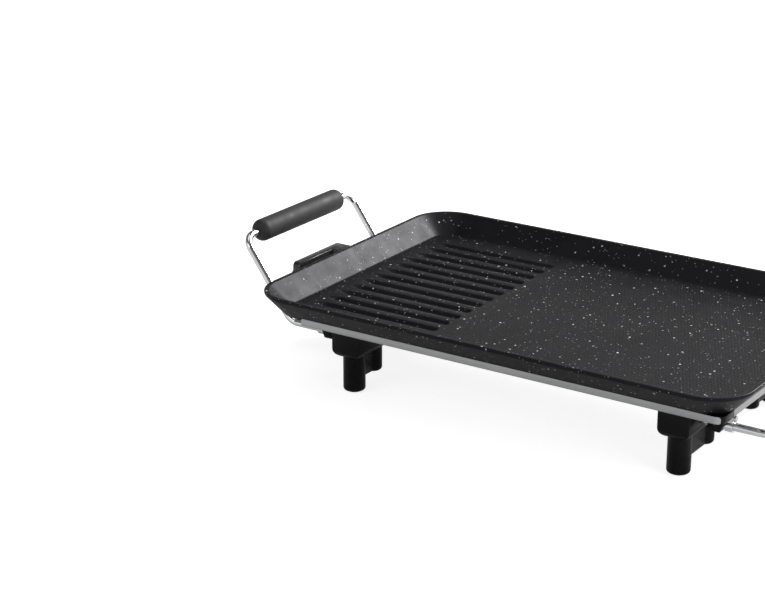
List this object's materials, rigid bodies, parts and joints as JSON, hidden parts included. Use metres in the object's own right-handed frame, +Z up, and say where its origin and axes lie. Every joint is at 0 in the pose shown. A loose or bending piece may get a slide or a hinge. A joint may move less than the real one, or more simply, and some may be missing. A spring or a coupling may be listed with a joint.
{
  "type": "electric tabletop griddle",
  "caption": "Rectangular tabletop electric griddle with a ribbed and a flat zone, wire handles, short legs and a pull-off thermostat with a turning knob.",
  "frame": {"origin": "on the table under the centre of the pan", "axes": "+X along the pan to the end without the thermostat, +Y to the back, +Z up"},
  "size_m": [0.5794, 0.3, 0.1255],
  "materials": {
    "pan_coating": "cast aluminium under a satin black non-stick coating with pale speckles",
    "tray_metal": "brushed",
    "heater_sheath": "dull heat-tinted",
    "zinc_steel": "zinc plated",
    "cast_aluminium": "as cast",
    "pin_metal": "nickel plated",
    "ceramic_bush": "unglazed",
    "bakelite": "moulded thermoset, semi-gloss",
    "foot_rubber": "matt",
    "chrome_wire": "polished",
    "grip_plastic": "satin heat-resistant moulding",
    "housing_plastic": "semi-gloss moulding",
    "brass": "plain",
    "probe_steel": "polished",
    "bimetal": "rolled strip",
    "red_lens": "clear red lens",
    "knob_plastic": "gloss moulding with fine ribs",
    "dial_face": "printed face"
  },
  "bodies": {
    "griddle": {"griddle_pan": "pan_coating", "base_tray": "tray_metal", "heating_element": "heater_sheath", "element_clips": "zinc_steel", "terminal_plate": "zinc_steel", "terminal_pins": "pin_metal", "terminal_insulators": "ceramic_bush", "probe_guide": "cast_aluminium", "socket_shroud": "bakelite", "leg_front_left": "bakelite", "leg_front_right": "bakelite", "leg_rear_left": "bakelite", "leg_rear_right": "bakelite", "foot_front_left": "foot_rubber", "foot_front_right": "foot_rubber", "foot_rear_left": "foot_rubber", "foot_rear_right": "foot_rubber", "handle_wire_left": "chrome_wire", "handle_wire_right": "chrome_wire", "grip_left": "grip_plastic", "grip_right": "grip_plastic", "handle_saddles": "bakelite", "wire_clips": "chrome_wire", "clip_screws": "zinc_steel", "leg_screws": "zinc_steel", "tray_screws": "zinc_steel", "plate_screws": "zinc_steel", "shroud_screws": "zinc_steel"},
    "thermostat": {"control_front_case": "housing_plastic", "control_rear_case": "housing_plastic", "contact_sleeves": "brass", "temperature_probe": "probe_steel", "thermostat_bracket": "zinc_steel", "bimetal_blade": "bimetal", "switch_contacts": "pin_metal", "indicator_lens": "red_lens", "cord_gland": "housing_plastic", "dial_bezel": "housing_plastic", "shaft_bushing": "brass", "bushing_nut": "zinc_steel", "case_screws": "zinc_steel"},
    "knob": {"temperature_knob": "knob_plastic", "dial_disc": "dial_face", "control_shaft": "probe_steel"}
  },
  "joints": [
    {"name": "thermostat_pull", "type": "slide", "parent": "griddle", "child": "thermostat", "axis": [-1, 0, 0], "range_m": [0, 0.082]},
    {"name": "knob_turn", "type": "hinge", "parent": "thermostat", "child": "knob", "pos_m": [-0.27, 0, 0.049], "axis": [1, 0, 0], "range_deg": [0, 254]}
  ]
}
